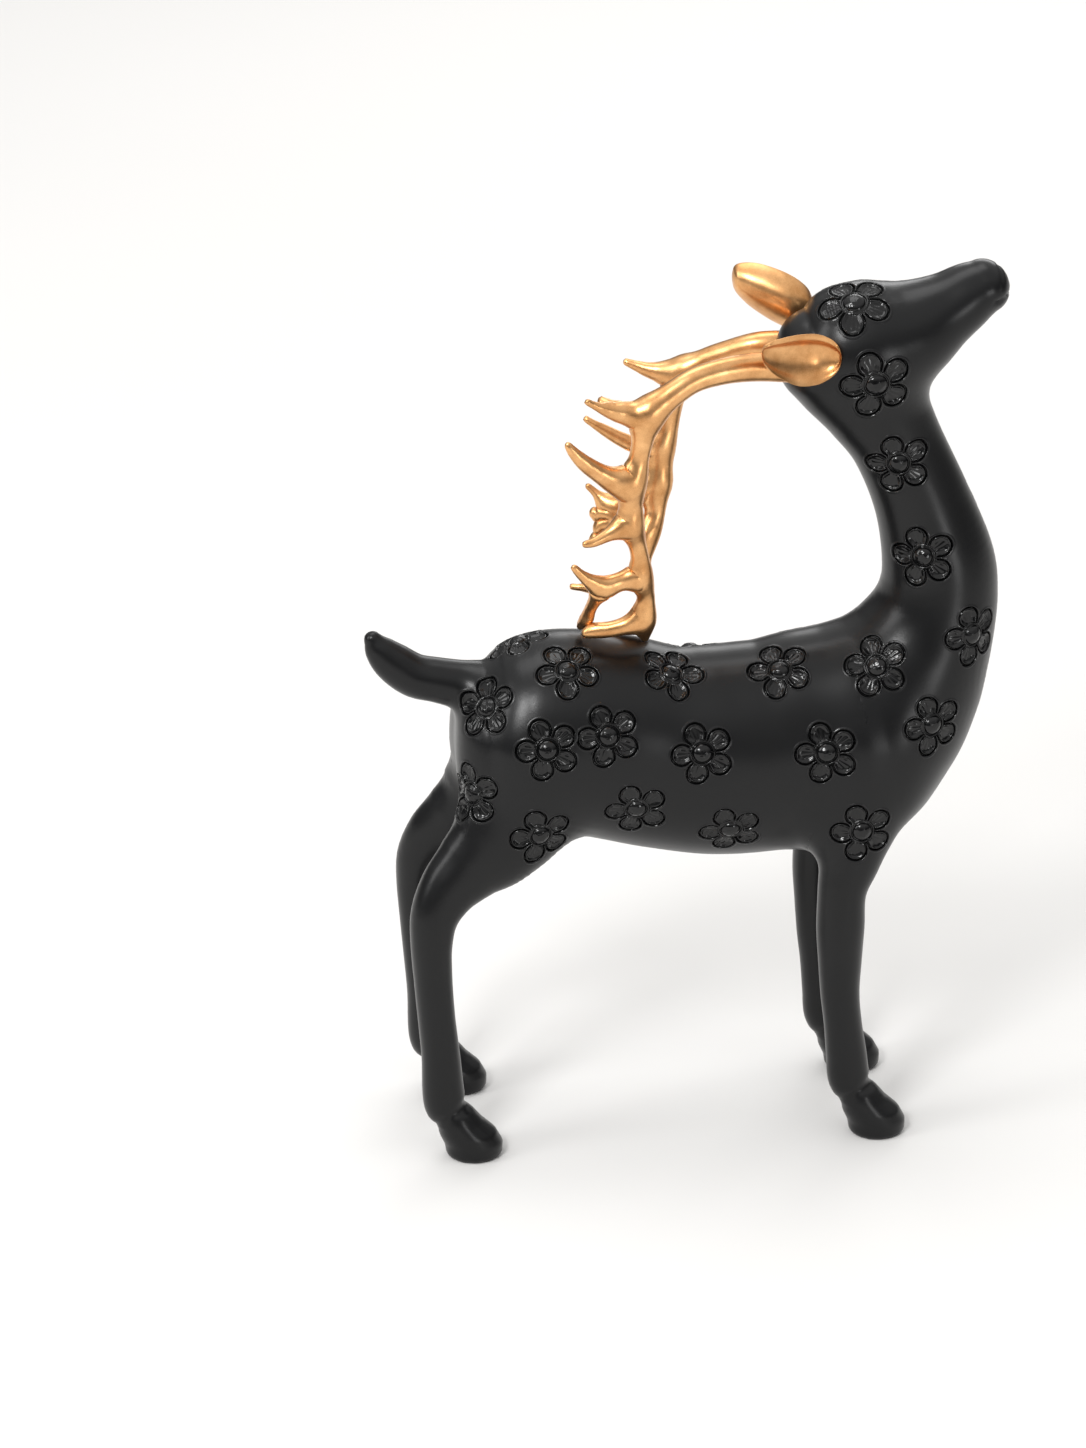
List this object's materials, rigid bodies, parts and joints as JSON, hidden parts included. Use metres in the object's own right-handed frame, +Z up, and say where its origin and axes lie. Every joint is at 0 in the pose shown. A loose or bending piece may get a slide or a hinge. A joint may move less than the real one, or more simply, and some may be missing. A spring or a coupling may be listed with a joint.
{
  "type": "stag statue",
  "caption": "Standing stag statue with a raised head, an arched neck, an upturned tail, sunk five-petal flowers, and antlers that sweep down to the back.",
  "frame": {"origin": "on the ground between the hooves, at the middle of the base of the bounding box", "axes": "+X towards the nose, +Y towards the stag's left side, +Z up"},
  "size_m": [0.3131, 0.098, 0.448],
  "materials": {
    "black_casting": "satin black paint, glossier in the flowers",
    "bronze_paint": "satin bronze-gold metallic paint"
  },
  "bodies": {
    "root": {"body": "black_casting", "right_antler": "bronze_paint", "left_antler": "bronze_paint", "right_ear": "bronze_paint", "left_ear": "bronze_paint"}
  },
  "joints": []
}
